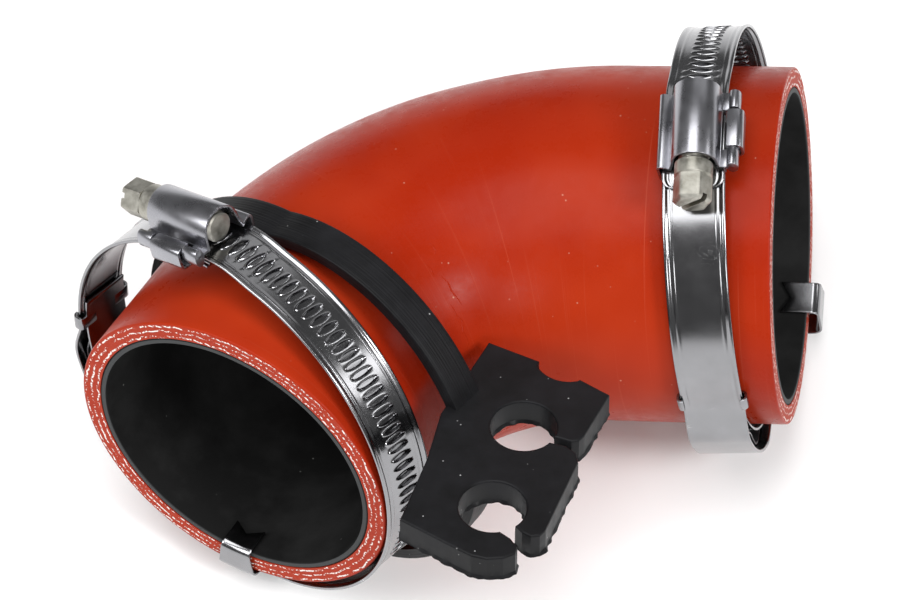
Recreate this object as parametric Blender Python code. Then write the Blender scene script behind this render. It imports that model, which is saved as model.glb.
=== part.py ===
"""Moulded silicone intercooler hose elbow, with two worm drive clamps and a rubber cable bracket.

The elbow is drawn in its own frame. The bend starts at the origin, the longer leg runs along +X
and the plane of the bend is level. A root empty then lays the whole assembly down as it rests,
with the middle of its footprint at the world origin.

Distances along the hose run from the face of the long leg, through the bend, to the face of the
short leg. Angles around the hose or around a clamp start at the top.
"""
import math

import bmesh
import bpy
from mathutils import Matrix, Vector

MM = 0.001

# Clearance between pieces that touch
GAP = 0.3 * MM

# The least cosine of half a corner at which a bent strip keeps its full thickness
SHARPEST_MITRE = 0.4

# Hose
LONG_LEG = 34.5 * MM
SHORT_LEG = 19.5 * MM
BEND_RADIUS = 63.5 * MM
BEND_ANGLE = math.radians(70.0)
LONG_END_RADIUS = 35.0 * MM
SHORT_END_RADIUS = 33.5 * MM
WALL = 5.0 * MM
LINER = 1.1 * MM
HOSE_SIDES = 40
BEND_STEPS = 11

# Clamp band
BAND_SLACK = 4.55 * MM
BAND_WIDTH = 12.0 * MM
BAND_THICKNESS = 0.6 * MM
BAND_LIP_WIDTH = 0.8 * MM
BAND_LIP_RISE = 0.3 * MM
BAND_STEP = math.radians(4.5)
TAIL_OVERHANG = 2.6 * MM
RAMP_ANGLE = math.radians(12.0)
LEVEL_ANGLE = math.radians(2.4)

# Spring hump in the band
HUMP_RISE = 3.5 * MM
HUMP_ANGLE = math.radians(62.0)
HUMP_RAMP = math.radians(15.0)
HUMP_START = 0.7 * MM
SPRING_WAVES = 2
SPRING_INSET = math.radians(3.75)
SPRING_THICKNESS = 0.35 * MM
SPRING_WIDTH = 8.0 * MM
BRIDGE_THICKNESS = 0.5 * MM
BRIDGE_LAP = math.radians(8.0)
LUG_LENGTH = 3.0 * MM
LUG_HOLD = 1.1 * MM

# Screw housing and saddle
HOUSING_LENGTH = 15.6 * MM
HOUSING_WALL = 0.8 * MM
SCREW_ROOM = 0.7 * MM
SCREW_OFFSET = 0.8 * MM
TAB_LENGTH = 7.8 * MM
TAB_ROLL_RADIUS = 1.15 * MM
TAB_REACH = 3.1 * MM
TAB_BULGE = 1.2 * MM
TAB_CORNER = 1.2 * MM
FOLD_CORNER = 0.9 * MM
FOLD_UNDER = 2.6 * MM
SADDLE_THICKNESS = 0.6 * MM
SADDLE_LENGTH = 14.0 * MM

# Worm screw
SCREW_RADIUS = 3.0 * MM
COLLAR_RADIUS = 3.6 * MM
COLLAR_LENGTH = 3.2 * MM
HEX_ACROSS_FLATS = 6.5 * MM
HEX_LENGTH = 5.2 * MM
HEX_CHAMFER = 0.5 * MM
SLOT_WIDTH = 1.2 * MM
SLOT_DEPTH = 2.2 * MM
SLOT_ANGLE = math.radians(35.0)

# Clip that holds a clamp on the end of the hose. Its outer bend lies off the hose by its flare
# times the distance by which the clip stands off the rim.
CLIP_WIDTH = 8.8 * MM
CLIP_THICKNESS = 0.5 * MM
CLIP_INNER_LEG = 5.4 * MM
CLIP_NOTCH = 2.0 * MM
CLIP_BEND = 1.2 * MM
CLIP_FLARE = 1.5

# Cable bracket: a strap around the hose and a plate with two snap holes
STRAP_POSITION = math.radians(64.9)
STRAP_WIDTH = 7.0 * MM
STRAP_THICKNESS = 2.5 * MM
STRAP_LIFT = 9.8 * MM
STRAP_LEAN = math.radians(5.1)
STRAP_YAW = math.radians(5.2)
PLATE_THICKNESS = 5.5 * MM
PLATE_TUCK = 1.54 * MM
PLATE_HEIGHT = 13.6 * MM
PLATE_LEAD = 8.8 * MM
PLATE_YAW = math.radians(6.0)
PLATE_DIP = math.radians(6.5)
PLATE_RISE = math.radians(3.4)
SNAP_HOLE_RADIUS = 6.2 * MM

# Centres of the notch and of the two snap holes on the plate: along the hose, then away from it
EDGE_NOTCH = (-3.4 * MM, 15.2 * MM)
MIDDLE_HOLE = (16.4 * MM, 15.9 * MM)
FAR_HOLE = (37.0 * MM, 20.2 * MM)

# How the assembly lies
LEAN_SIDEWAYS = math.radians(-10.11)
LEAN_FORWARD = math.radians(-16.86)
TURN = math.radians(-5.88)

# Each clamp: how far its middle lies from the end of the hose, how it leans, how much of its slack
# it hangs by and which way, and where its housing, hump and clip are
CLAMPS = {
    "right": {
        "from_end": 13.2 * MM,
        "faces": 1.0,
        "lean_side": math.radians(1.3),
        "lean_up": math.radians(-2.5),
        "hang": 0.85,
        "hang_angle": math.radians(-80.0),
        "housing": math.radians(19.8),
        "hump": math.radians(100.4),
        "clip": math.radians(200.0),
        "clip_stands_off": 2.3 * MM,
    },
    "left": {
        "from_end": 12.0 * MM,
        "faces": -1.0,
        "lean_side": math.radians(-11.3),
        "lean_up": math.radians(-3.5),
        "hang": 1.0,
        "hang_angle": math.radians(67.0),
        "housing": math.radians(8.8),
        "hump": math.radians(83.7),
        "clip": math.radians(178.7),
        "clip_stands_off": 0.8 * MM,
    },
}

BEND_LENGTH = BEND_RADIUS * BEND_ANGLE
HOSE_LENGTH = LONG_LEG + BEND_LENGTH + SHORT_LEG
UP = Vector((0.0, 0.0, 1.0))

SILICONE = ("red_silicone", (0.55, 0.06, 0.02), 0.45, 0.0)
LINER_RUBBER = ("black_liner", (0.02, 0.02, 0.02), 0.7, 0.0)
BRACKET_RUBBER = ("black_rubber", (0.02, 0.02, 0.022), 0.6, 0.0)
STAINLESS = ("stainless_steel", (0.62, 0.62, 0.62), 0.25, 1.0)
SCREW_STEEL = ("zinc_steel", (0.55, 0.53, 0.47), 0.45, 1.0)


def clear_scene():
    for item in list(bpy.data.objects):
        bpy.data.objects.remove(item, do_unlink=True)


def material(spec):
    name, colour, roughness, metallic = spec
    found = bpy.data.materials.get(name)
    if found:
        return found
    made = bpy.data.materials.new(name)
    made.use_nodes = True
    shader = made.node_tree.nodes["Principled BSDF"]
    shader.inputs["Base Color"].default_value = (*colour, 1.0)
    shader.inputs["Roughness"].default_value = roughness
    shader.inputs["Metallic"].default_value = metallic
    return made


def empty(name, parent=None, matrix=None):
    made = bpy.data.objects.new(name, None)
    made.empty_display_size = 5.0 * MM
    bpy.context.scene.collection.objects.link(made)
    made.parent = parent
    if matrix is not None:
        made.matrix_local = matrix
    return made


def solid(name, rings, parent, spec, closed=False, smooth=True):
    """A closed solid through rings of points; the last ring meets the first, or both are capped."""
    shape = bmesh.new()
    rows = [[shape.verts.new(point) for point in ring] for ring in rings]
    count = len(rings[0])
    spans = len(rows) if closed else len(rows) - 1
    for index in range(spans):
        near = rows[index]
        far = rows[(index + 1) % len(rows)]
        for corner in range(count):
            after = (corner + 1) % count
            shape.faces.new((near[corner], near[after], far[after], far[corner]))
    if not closed:
        shape.faces.new(rows[0])
        shape.faces.new(rows[-1])
    bmesh.ops.recalc_face_normals(shape, faces=shape.faces)
    mesh = bpy.data.meshes.new(name)
    shape.to_mesh(mesh)
    shape.free()
    mesh.materials.append(material(spec))
    if smooth:
        mesh.shade_smooth()
        mesh.set_sharp_from_angle(angle=math.radians(30.0))
    made = bpy.data.objects.new(name, mesh)
    bpy.context.scene.collection.objects.link(made)
    made.parent = parent
    return made


def combine(base, other, operation):
    """Keeps the other solid as a hidden cutter and adds it to, or takes it from, the base."""
    other.hide_render = True
    other.display_type = "WIRE"
    step = base.modifiers.new(other.name, "BOOLEAN")
    step.operation = operation
    step.solver = "EXACT"
    step.object = other


def ribbon(path, thickness):
    """The closed outline of a strip of even thickness that follows a flat path."""
    sides = ([], [])
    for index, point in enumerate(path):
        here = Vector(point)
        before = Vector(path[max(index - 1, 0)])
        after = Vector(path[min(index + 1, len(path) - 1)])
        arriving = (here - before) if index else (after - here)
        leaving = (after - here) if index < len(path) - 1 else (here - before)
        arriving.normalize()
        leaving.normalize()
        middle = (arriving + leaving).normalized()
        normal = Vector((-middle.y, middle.x))
        reach = thickness / 2 / max(middle.dot(leaving), SHARPEST_MITRE)
        sides[0].append(here + normal * reach)
        sides[1].append(here - normal * reach)
    return sides[0] + sides[1][::-1]


def arc(centre, radius, start, end, steps):
    """Points on an arc in a flat drawing, both ends included."""
    points = []
    for step in range(steps + 1):
        angle = start + (end - start) * step / steps
        points.append((centre[0] + radius * math.cos(angle), centre[1] + radius * math.sin(angle)))
    return points


def ease(value):
    value = min(max(value, 0.0), 1.0)
    return value * value * (3.0 - 2.0 * value)


# Hose

def hose_radius(distance):
    """The outer radius, which narrows evenly through the bend."""
    along = min(max((distance - LONG_LEG) / BEND_LENGTH, 0.0), 1.0)
    return LONG_END_RADIUS + (SHORT_END_RADIUS - LONG_END_RADIUS) * along


def hose_frame(distance):
    """The centre of the hose, its direction and the direction to the outside of the bend."""
    turned = min(max((distance - LONG_LEG) / BEND_RADIUS, 0.0), BEND_ANGLE)
    along = Vector((-math.cos(turned), -math.sin(turned), 0.0))
    outward = Vector((-math.sin(turned), math.cos(turned), 0.0))
    centre = outward * BEND_RADIUS - Vector((0.0, BEND_RADIUS, 0.0))
    past = min(distance - LONG_LEG, 0.0) + max(distance - LONG_LEG - BEND_LENGTH, 0.0)
    return centre + along * past, along, outward


def hose_point(distance, angle, radius):
    centre, along, outward = hose_frame(distance)
    return centre + (UP * math.cos(angle) + outward * math.sin(angle)) * radius


def hose_stations():
    stations = [0.0, LONG_LEG]
    stations += [LONG_LEG + BEND_LENGTH * step / BEND_STEPS for step in range(1, BEND_STEPS + 1)]
    return stations + [HOSE_LENGTH]


def tube_wall(name, depth_outside, depth_inside, parent, spec):
    """The part of the hose wall between two depths below its outer face."""
    stations = hose_stations()
    rings = []
    for side in range(HOSE_SIDES):
        angle = 2.0 * math.pi * side / HOSE_SIDES
        ring = [hose_point(d, angle, hose_radius(d) - depth_outside) for d in stations]
        ring += [hose_point(d, angle, hose_radius(d) - depth_inside) for d in reversed(stations)]
        rings.append(ring)
    return solid(name, rings, parent, spec, closed=True)


# Cable bracket

def around(centre, offsets):
    """Points given by their distances from a hole's centre, in mm."""
    return [(centre[0] + x * MM, centre[1] + y * MM) for x, y in offsets]


def plate_outline():
    """The plate seen from above: along the hose, then away from it."""
    hole = SNAP_HOLE_RADIUS
    outline = [(0.0, 0.0), (0.0, EDGE_NOTCH[1] - 4.5 * MM)]
    outline += arc(EDGE_NOTCH, hole, math.radians(-42.0), math.radians(42.0), 6)
    corners = [(-15.7, 3.7), (-14.7, 10.4), (-3.0, 11.0), (-1.5, 10.7), (-0.6, 9.6)]
    outline += around(MIDDLE_HOLE, corners)
    outline += arc(MIDDLE_HOLE, hole, math.radians(92.0), math.radians(437.0), 22)
    outline += around(MIDDLE_HOLE, [(0.8, 9.1), (1.5, 11.5), (3.4, 13.0)])
    outline += around(FAR_HOLE, [(0.6, 11.1), (2.3, 10.8), (3.3, 9.5), (3.1, 7.6)])
    outline += arc(FAR_HOLE, hole, math.radians(69.0), math.radians(400.0), 22)
    corners = [(5.3, 6.4), (6.5, 8.4), (8.2, 8.9), (10.2, 7.5), (11.8, 5.0), (12.4, 2.2)]
    outline += around(FAR_HOLE, corners + [(12.1, -1.2), (10.7, -13.3), (-5.0, -16.2)])
    return outline + around(MIDDLE_HOLE, [(4.3, -15.1)])


def cable_bracket(parent):
    middle = LONG_LEG + BEND_RADIUS * STRAP_POSITION
    centre, along, outward = hose_frame(middle)
    rings = []
    for side in range(HOSE_SIDES):
        angle = 2.0 * math.pi * side / HOSE_SIDES
        radial = UP * math.cos(angle) + outward * math.sin(angle)
        inner = GAP + STRAP_LIFT * max(-math.sin(angle), 0.0)
        lean = math.tan(STRAP_LEAN) * math.cos(angle) + math.tan(STRAP_YAW) * math.sin(angle)
        shift = -lean * (hose_radius(middle) + inner)
        ring = []
        for edge, depth in ((-0.5, 0.0), (0.0, 0.0), (0.5, 0.0), (0.5, 1.0), (0.0, 1.0), (-0.5, 1.0)):
            across = shift + edge * STRAP_WIDTH
            radius = hose_radius(middle + across) + inner + depth * STRAP_THICKNESS
            ring.append(centre + along * across + radial * radius)
        rings.append(ring)
    bracket = solid("cable_bracket", rings, parent, BRACKET_RUBBER, closed=True)

    corner = centre - along * (STRAP_WIDTH / 2 + PLATE_LEAD) + UP * PLATE_HEIGHT
    corner -= outward * (band_radius() - PLATE_TUCK)
    axes = Matrix((along, -outward, -UP)).transposed().to_4x4()
    place = Matrix.Translation(corner) @ axes
    place = place @ Matrix.Rotation(PLATE_YAW, 4, "Z")
    place = place @ Matrix.Rotation(PLATE_DIP, 4, "X") @ Matrix.Rotation(PLATE_RISE, 4, "Y")
    faces = []
    for depth in (0.0, PLATE_THICKNESS):
        faces.append([place @ Vector((*point, depth)) for point in plate_outline()])
    plate = solid("bracket_plate_guide", faces, parent, BRACKET_RUBBER)
    combine(bracket, plate, "UNION")
    return bracket


# Clamps

def band_radius():
    """The inner radius of a clamp band, which hangs slack around the wider end of the hose."""
    return max(LONG_END_RADIUS, SHORT_END_RADIUS) + BAND_SLACK


def clamp_face(clamp):
    """Where along the hose the end lies that a clamp sits near."""
    return 0.0 if clamp["faces"] > 0 else HOSE_LENGTH


def lean_loss(clamp):
    """Slack that is used up because the leaning band sits askew on the hose."""
    lean = math.hypot(clamp["lean_side"], clamp["lean_up"])
    return band_radius() * (1.0 - math.cos(lean)) + BAND_WIDTH / 2 * math.sin(lean)


def clamp_frame(clamp):
    """The place of a clamp: X along its axis to the bend, Z to its top."""
    distance = abs(clamp_face(clamp) - clamp["from_end"])
    centre, along, outward = hose_frame(distance)
    side = outward * -clamp["faces"]
    axis = along * clamp["faces"]
    axis += side * math.tan(clamp["lean_side"]) + UP * math.tan(clamp["lean_up"])
    axis.normalize()
    top = (UP - axis * UP.dot(axis)).normalized()
    side = top.cross(axis)
    room = band_radius() - hose_radius(distance) - GAP - lean_loss(clamp)
    reach = top * math.cos(clamp["hang_angle"]) + side * math.sin(clamp["hang_angle"])
    place = Matrix((axis, side, top)).transposed().to_4x4()
    return Matrix.Translation(centre + reach * clamp["hang"] * room) @ place


def ring_point(angle, radius, across):
    return Vector((across, radius * math.sin(angle), radius * math.cos(angle)))


def hump_rise(angle, start):
    """How far the band stands out over the wave spring."""
    into = angle - start
    return HUMP_RISE * ease(into / HUMP_RAMP) * ease((HUMP_ANGLE - into) / HUMP_RAMP)


def tail_rise():
    """The tail lies on the fixed end of the band, whose raised lips nest under its own."""
    return BAND_THICKNESS + GAP


def band_levels(clamp):
    """Angles along the band with its rise over the plain ring, from the fixed end to the tail."""
    half = HOUSING_LENGTH / 2 / band_radius()
    start = clamp["housing"] - half
    end = clamp["housing"] + half + TAIL_OVERHANG / band_radius() + 2.0 * math.pi
    ramp = start + 2.0 * math.pi - RAMP_ANGLE - LEVEL_ANGLE
    steps = round((end - start) / BAND_STEP)
    levels = []
    for step in range(steps + 1):
        angle = start + (end - start) * step / steps
        climb = ease((angle - ramp) / RAMP_ANGLE)
        levels.append((angle, hump_rise(angle, clamp["hump"]) + climb * tail_rise()))
    return levels


def clamp_band(name, clamp, parent):
    half = BAND_WIDTH / 2
    flat = half - BAND_LIP_WIDTH
    rings = []
    for angle, rise in band_levels(clamp):
        lip = BAND_LIP_RISE * (1.0 - ease(hump_rise(angle, clamp["hump"]) / HUMP_START))
        radius = band_radius() + rise
        profile = [(-half, lip), (-flat, 0.0), (flat, 0.0), (half, lip)]
        profile += [(across, lift + BAND_THICKNESS) for across, lift in reversed(profile)]
        rings.append([ring_point(angle, radius + lift, across) for across, lift in profile])
    return solid(name, rings, parent, STAINLESS)


def wave_spring(name, clamp, parent):
    steps = 10 * SPRING_WAVES
    start = clamp["hump"] + SPRING_INSET
    span = HUMP_ANGLE - 2.0 * SPRING_INSET
    half = SPRING_THICKNESS / 2
    low = band_radius() + half
    path = []
    for step in range(steps + 1):
        share = step / steps
        angle = start + span * share
        room = hump_rise(angle, clamp["hump"]) - GAP - 2.0 * half
        wave = 0.5 - 0.5 * math.cos(2.0 * math.pi * SPRING_WAVES * share)
        radius = low + max(room, 0.0) * wave
        path.append((radius * math.sin(angle), radius * math.cos(angle)))
    outline = ribbon(path, SPRING_THICKNESS)
    sides = []
    for across in (-SPRING_WIDTH / 2, SPRING_WIDTH / 2):
        sides.append([Vector((across, point[0], point[1])) for point in outline])
    return solid(name, sides, parent, STAINLESS)


def bridge_strip(name, clamp, parent):
    """The thin strip that spans the hump next to the hose, and holds the band with two lugs."""
    top = band_radius() - GAP
    bottom = top - BRIDGE_THICKNESS
    half = BAND_WIDTH / 2 - BAND_LIP_WIDTH
    start = clamp["hump"] - BRIDGE_LAP
    span = HUMP_ANGLE + 2.0 * BRIDGE_LAP
    steps = round(span / BAND_STEP)
    rings = []
    for step in range(steps + 1):
        angle = start + span * step / steps
        corners = ((-half, bottom), (half, bottom), (half, top), (-half, top))
        rings.append([ring_point(angle, radius, across) for across, radius in corners])
    strip = solid(name, rings, parent, STAINLESS)

    middle = (top + bottom) / 2
    outer = BAND_WIDTH / 2 + GAP + BRIDGE_THICKNESS / 2
    over = band_radius() + BAND_THICKNESS + BAND_LIP_RISE + GAP + BRIDGE_THICKNESS / 2
    path = [(-outer + LUG_HOLD, over), (-outer, over), (-outer, middle)]
    path += [(-across, radius) for across, radius in reversed(path)]
    lugs = []
    for share in (-0.5, 0.5):
        angle = clamp["hump"] + share * LUG_LENGTH / band_radius()
        outline = ribbon(path, BRIDGE_THICKNESS)
        lugs.append([ring_point(angle, radius, across) for across, radius in outline])
    combine(strip, solid(name + "_lug_guide", lugs, parent, STAINLESS), "UNION")
    return strip


def housing_frame(clamp):
    """The place of the housing on its ring: X to the bend, Y along the screw to its head, Z out."""
    angle = clamp["housing"]
    point = ring_point(angle, band_radius(), 0.0)
    along = Vector((0.0, math.cos(angle), -math.sin(angle)))
    outward = point.normalized()
    axes = Matrix((Vector((1.0, 0.0, 0.0)), along, outward)).transposed().to_4x4()
    return Matrix.Translation(point) @ axes


def screw_height():
    """The screw's axis, over the inner face of the band."""
    return tail_rise() + BAND_THICKNESS + GAP + SCREW_RADIUS


def flange_height():
    return tail_rise() + BAND_THICKNESS + BAND_LIP_RISE + GAP + HOUSING_WALL / 2


def arch_radius():
    """The radius of the housing's arch at the middle of its wall."""
    return SCREW_RADIUS + SCREW_ROOM + HOUSING_WALL / 2


def tab_edge():
    """How far the housing's flange reaches on the side of the tabs, away from the bend."""
    return SCREW_OFFSET + arch_radius() + TAB_REACH


def fold_edge():
    """How far the housing reaches on the side of the fold, towards the bend."""
    return BAND_WIDTH / 2 + GAP + HOUSING_WALL / 2


def prism(name, outline, start, end, parent, spec):
    """An outline across the housing, drawn out along the screw."""
    rings = [[Vector((x, y, z)) for x, z in outline] for y in (start, end)]
    return solid(name, rings, parent, spec)


def screw_housing(name, parent):
    """The arch over the screw. One flange is folded down and under the saddle, one is rolled."""
    flange = flange_height()
    edge = fold_edge()
    corner = FOLD_CORNER
    under = -(SADDLE_THICKNESS + 2.0 * GAP + saddle_drop() + HOUSING_WALL / 2)
    path = [(edge - FOLD_UNDER, under)]
    path += arc((edge - corner, under + corner), corner, -math.pi / 2, 0.0, 4)
    path += arc((edge - corner, flange - corner), corner, 0.0, math.pi / 2, 4)
    path += arc((-SCREW_OFFSET, screw_height()), arch_radius(), 0.0, math.pi, 14)
    path += [(-SCREW_OFFSET - arch_radius(), flange), (-tab_edge(), flange)]
    length = HOUSING_LENGTH / 2
    housing = prism(name, ribbon(path, HOUSING_WALL), -length, length, parent, STAINLESS)
    roll = arc((-tab_edge(), flange), TAB_ROLL_RADIUS, 0.0, 2.0 * math.pi, 12)[:-1]
    for mark, end in (("tip", -1.0), ("head", 1.0)):
        near, far = sorted((end * (TAB_LENGTH / 2 + GAP), end * length))
        guide = prism("%s_%s_roll_guide" % (name, mark), roll, near, far, parent, STAINLESS)
        combine(housing, guide, "UNION")
    return housing


def saddle_drop():
    """How much lower the ends of the curved saddle lie than its middle."""
    return band_radius() * (1.0 - math.cos(SADDLE_LENGTH / 2 / band_radius()))


def base_plate(name, clamp, parent, ring_parent):
    """The saddle under the band. Its tab is rolled over the middle of the housing's flange."""
    middle = -GAP - SADDLE_THICKNESS / 2
    side = tab_edge() + TAB_BULGE
    over = flange_height() + HOUSING_WALL / 2 + GAP + SADDLE_THICKNESS / 2
    corner = TAB_CORNER
    path = [(-side + TAB_BULGE + TAB_REACH / 2, over)]
    path += arc((corner - side, over - corner), corner, math.pi / 2, math.pi, 4)
    path += arc((corner - side, middle + corner), corner, math.pi, 1.5 * math.pi, 4)
    path += [(0.0, middle)]
    tab = TAB_LENGTH / 2
    plate = prism(name, ribbon(path, SADDLE_THICKNESS), -tab, tab, parent, STAINLESS)
    half = BAND_WIDTH / 2
    top = band_radius() - GAP
    bottom = top - SADDLE_THICKNESS
    reach = SADDLE_LENGTH / 2 / band_radius()
    rings = []
    for step in range(9):
        angle = clamp["housing"] + reach * (step / 4.0 - 1.0)
        corners = ((-half, bottom), (half, bottom), (half, top), (-half, top))
        rings.append([ring_point(angle, radius, across) for across, radius in corners])
    combine(plate, solid(name + "_saddle_guide", rings, ring_parent, STAINLESS), "UNION")
    return plate


def worm_screw(name, parent):
    """The screw lies along its own Y axis, with its origin on that axis."""
    tip = -HOUSING_LENGTH / 2
    collar = HOUSING_LENGTH / 2 + GAP
    hexagon = collar + COLLAR_LENGTH
    end = hexagon + HEX_LENGTH
    chamfer = HEX_CHAMFER
    turned = [(tip, SCREW_RADIUS - 2.0 * chamfer, False), (tip + 2.0 * chamfer, SCREW_RADIUS, False)]
    turned += [(collar, SCREW_RADIUS, False), (collar, COLLAR_RADIUS, False)]
    turned += [(hexagon, COLLAR_RADIUS, False), (hexagon, HEX_ACROSS_FLATS / 2, True)]
    turned += [(end - chamfer, HEX_ACROSS_FLATS / 2, True), (end, HEX_ACROSS_FLATS / 2 - chamfer, True)]
    sides = 24
    rings = []
    for y, radius, is_hexagon in turned:
        ring = []
        for side in range(sides):
            angle = 2.0 * math.pi * side / sides
            reach = radius
            if is_hexagon:
                reach = radius / math.cos((angle % (math.pi / 3.0)) - math.pi / 6.0)
            ring.append(Vector((reach * math.cos(angle), y, reach * math.sin(angle))))
        rings.append(ring)
    screw = solid(name, rings, parent, SCREW_STEEL)
    reach = HEX_ACROSS_FLATS
    half = SLOT_WIDTH / 2
    turn = Matrix.Rotation(SLOT_ANGLE, 3, "Y")
    rings = []
    for y in (end - SLOT_DEPTH, end + SLOT_DEPTH):
        corners = ((-reach, -half), (reach, -half), (reach, half), (-reach, half))
        rings.append([turn @ Vector((x, y, z)) for x, z in corners])
    combine(screw, solid(name + "_slot_guide", rings, parent, SCREW_STEEL), "DIFFERENCE")
    return screw


def seen_from_end(clamp, point):
    """How deep a point lies behind the end of the hose, its angle and its distance from the axis."""
    centre, along, outward = hose_frame(clamp_face(clamp))
    offset = point - centre
    across = offset.dot(outward)
    depth = offset.dot(along) * clamp["faces"]
    return depth, math.atan2(across, offset.z), math.hypot(across, offset.z)


def end_clip(name, clamp, parent):
    """A steel strip folded over the rim of the hose, with one leg inside and one under the band."""
    centre, along, outward = hose_frame(clamp_face(clamp))
    into = along * clamp["faces"]
    place = clamp_frame(clamp)
    under_band = band_radius() - GAP - CLIP_THICKNESS / 2
    inner = hose_radius(clamp_face(clamp)) - WALL - GAP - CLIP_THICKNESS / 2
    rim = -clamp["clip_stands_off"]
    outer = hose_radius(clamp_face(clamp)) + GAP + CLIP_THICKNESS / 2 - CLIP_FLARE * rim
    bend = CLIP_BEND
    rings = []
    for step in range(-2, 3):
        share = step / 2.0
        ring_angle = clamp["clip"] + share * CLIP_WIDTH / 2 / under_band
        far = seen_from_end(clamp, place @ ring_point(ring_angle, under_band, BAND_WIDTH / 2))
        near = seen_from_end(clamp, place @ ring_point(ring_angle, under_band, -BAND_WIDTH / 2))
        inner_leg = CLIP_INNER_LEG - CLIP_NOTCH * (1.0 - abs(share))
        path = [(far[0], far[2]), (near[0], near[2])]
        path += arc((rim + bend, outer - bend), bend, math.pi / 2, math.pi, 4)
        path += arc((rim + bend, inner + bend), bend, math.pi, 1.5 * math.pi, 4)
        path += [(inner_leg, inner)]
        outline = ribbon(path, CLIP_THICKNESS)
        radial = UP * math.cos(near[1]) + outward * math.sin(near[1])
        rings.append([centre + into * depth + radial * radius for depth, radius in outline])
    return solid(name, rings, parent, STAINLESS)


def build_clamp(side, clamp, root):
    ring = empty(side + "_clamp_ring", root, clamp_frame(clamp))
    seat = empty(side + "_housing_seat", ring, housing_frame(clamp))
    over_screw = Matrix.Translation((-SCREW_OFFSET, 0.0, screw_height()))
    axle = empty(side + "_screw_axle", seat, over_screw)
    clamp_band(side + "_clamp_band", clamp, ring)
    wave_spring(side + "_wave_spring", clamp, ring)
    bridge_strip(side + "_bridge_strip", clamp, ring)
    screw_housing(side + "_screw_housing", seat)
    base_plate(side + "_base_plate", clamp, seat, ring)
    worm_screw(side + "_worm_screw", axle)
    end_clip(side + "_end_clip", clamp, root)


def stand_on_floor(root):
    """Moves the root so that the middle of the assembly's underside is at the world origin."""
    bpy.context.view_layer.update()
    view = bpy.context.evaluated_depsgraph_get()
    low = Vector((math.inf,) * 3)
    high = Vector((-math.inf,) * 3)
    for item in bpy.context.scene.objects:
        if item.type != "MESH" or item.hide_render:
            continue
        shown = item.evaluated_get(view)
        for vertex in shown.data.vertices:
            point = shown.matrix_world @ vertex.co
            low = Vector(map(min, low, point))
            high = Vector(map(max, high, point))
    middle = (low + high) / 2
    root.location = root.location - Vector((middle.x, middle.y, low.z))


def main():
    clear_scene()
    turn = Matrix.Rotation(TURN, 4, "Z")
    lean = Matrix.Rotation(LEAN_SIDEWAYS, 4, "Y") @ Matrix.Rotation(LEAN_FORWARD, 4, "X")
    root = empty("hose_root", None, turn @ lean)
    tube_wall("hose_wall", 0.0, WALL - LINER - GAP, root, SILICONE)
    tube_wall("inner_liner", WALL - LINER, WALL, root, LINER_RUBBER)
    cable_bracket(root)
    for side, clamp in CLAMPS.items():
        build_clamp(side, clamp, root)
    stand_on_floor(root)


main()
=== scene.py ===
"""The looks of the moulded silicone hose elbow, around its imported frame.

Shapes are drawn as in the part's source: the elbow has its own frame, with the bend starting at
the origin, and a root matrix lays it down as it rests. Lengths are in metres, and angles around
the hose or a clamp start at the top.
"""
import math

import bmesh
import bpy
from mathutils import Matrix, Vector, noise


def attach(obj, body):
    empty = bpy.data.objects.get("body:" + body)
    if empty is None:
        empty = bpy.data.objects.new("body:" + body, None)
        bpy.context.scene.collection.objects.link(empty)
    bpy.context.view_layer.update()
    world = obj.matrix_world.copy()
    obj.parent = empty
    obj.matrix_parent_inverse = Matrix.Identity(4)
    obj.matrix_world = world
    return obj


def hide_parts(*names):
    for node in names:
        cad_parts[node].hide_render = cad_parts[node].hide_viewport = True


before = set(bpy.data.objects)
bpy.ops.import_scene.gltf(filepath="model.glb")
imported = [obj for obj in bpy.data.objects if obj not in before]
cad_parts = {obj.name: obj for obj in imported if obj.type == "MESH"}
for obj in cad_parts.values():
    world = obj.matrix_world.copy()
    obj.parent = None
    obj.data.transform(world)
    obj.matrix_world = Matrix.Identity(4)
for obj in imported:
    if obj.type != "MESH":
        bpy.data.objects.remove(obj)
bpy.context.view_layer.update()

MM = 0.001
GAP = 0.3 * MM
UP = Vector((0.0, 0.0, 1.0))
TAU = 2.0 * math.pi

# Hose
LONG_LEG = 34.5 * MM
SHORT_LEG = 19.5 * MM
BEND_RADIUS = 63.5 * MM
BEND_ANGLE = math.radians(70.0)
LONG_END_RADIUS = 35.0 * MM
SHORT_END_RADIUS = 33.5 * MM
WALL = 5.0 * MM
LINER = 1.1 * MM
RIM_ROUND = 0.35 * MM
HOSE_SIDES = 144
HOSE_STEP = 1.6 * MM
LUMP_SCALE = 45.0
LUMP_HEIGHT = 0.18 * MM

# Flash on the bend: distance along the hose in mm and angle in degrees
FLASH_WIDTH = 0.9 * MM
FLASH_HEIGHT = 0.05 * MM
FLASH_SINK = 0.04 * MM
FLASH_WANDER = 0.25 * MM
FLASH_STEPS = 8
FLASH_MARKS = (
    ((80.6, -33.5), (79.6, -35.5), (79.8, -37.2), (80.6, -38.4)),
    ((84.3, -39.3), (83.7, -42.0), (84.0, -44.7)),
    ((82.2, -45.0), (81.1, -48.0), (81.2, -51.5), (80.4, -54.5), (80.0, -57.0)),
    ((84.0, -53.8), (83.4, -56.0), (83.4, -58.5), (82.4, -61.0), (83.6, -64.0), (83.5, -68.0),
     (84.6, -72.0), (84.8, -76.0)),
)

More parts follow.
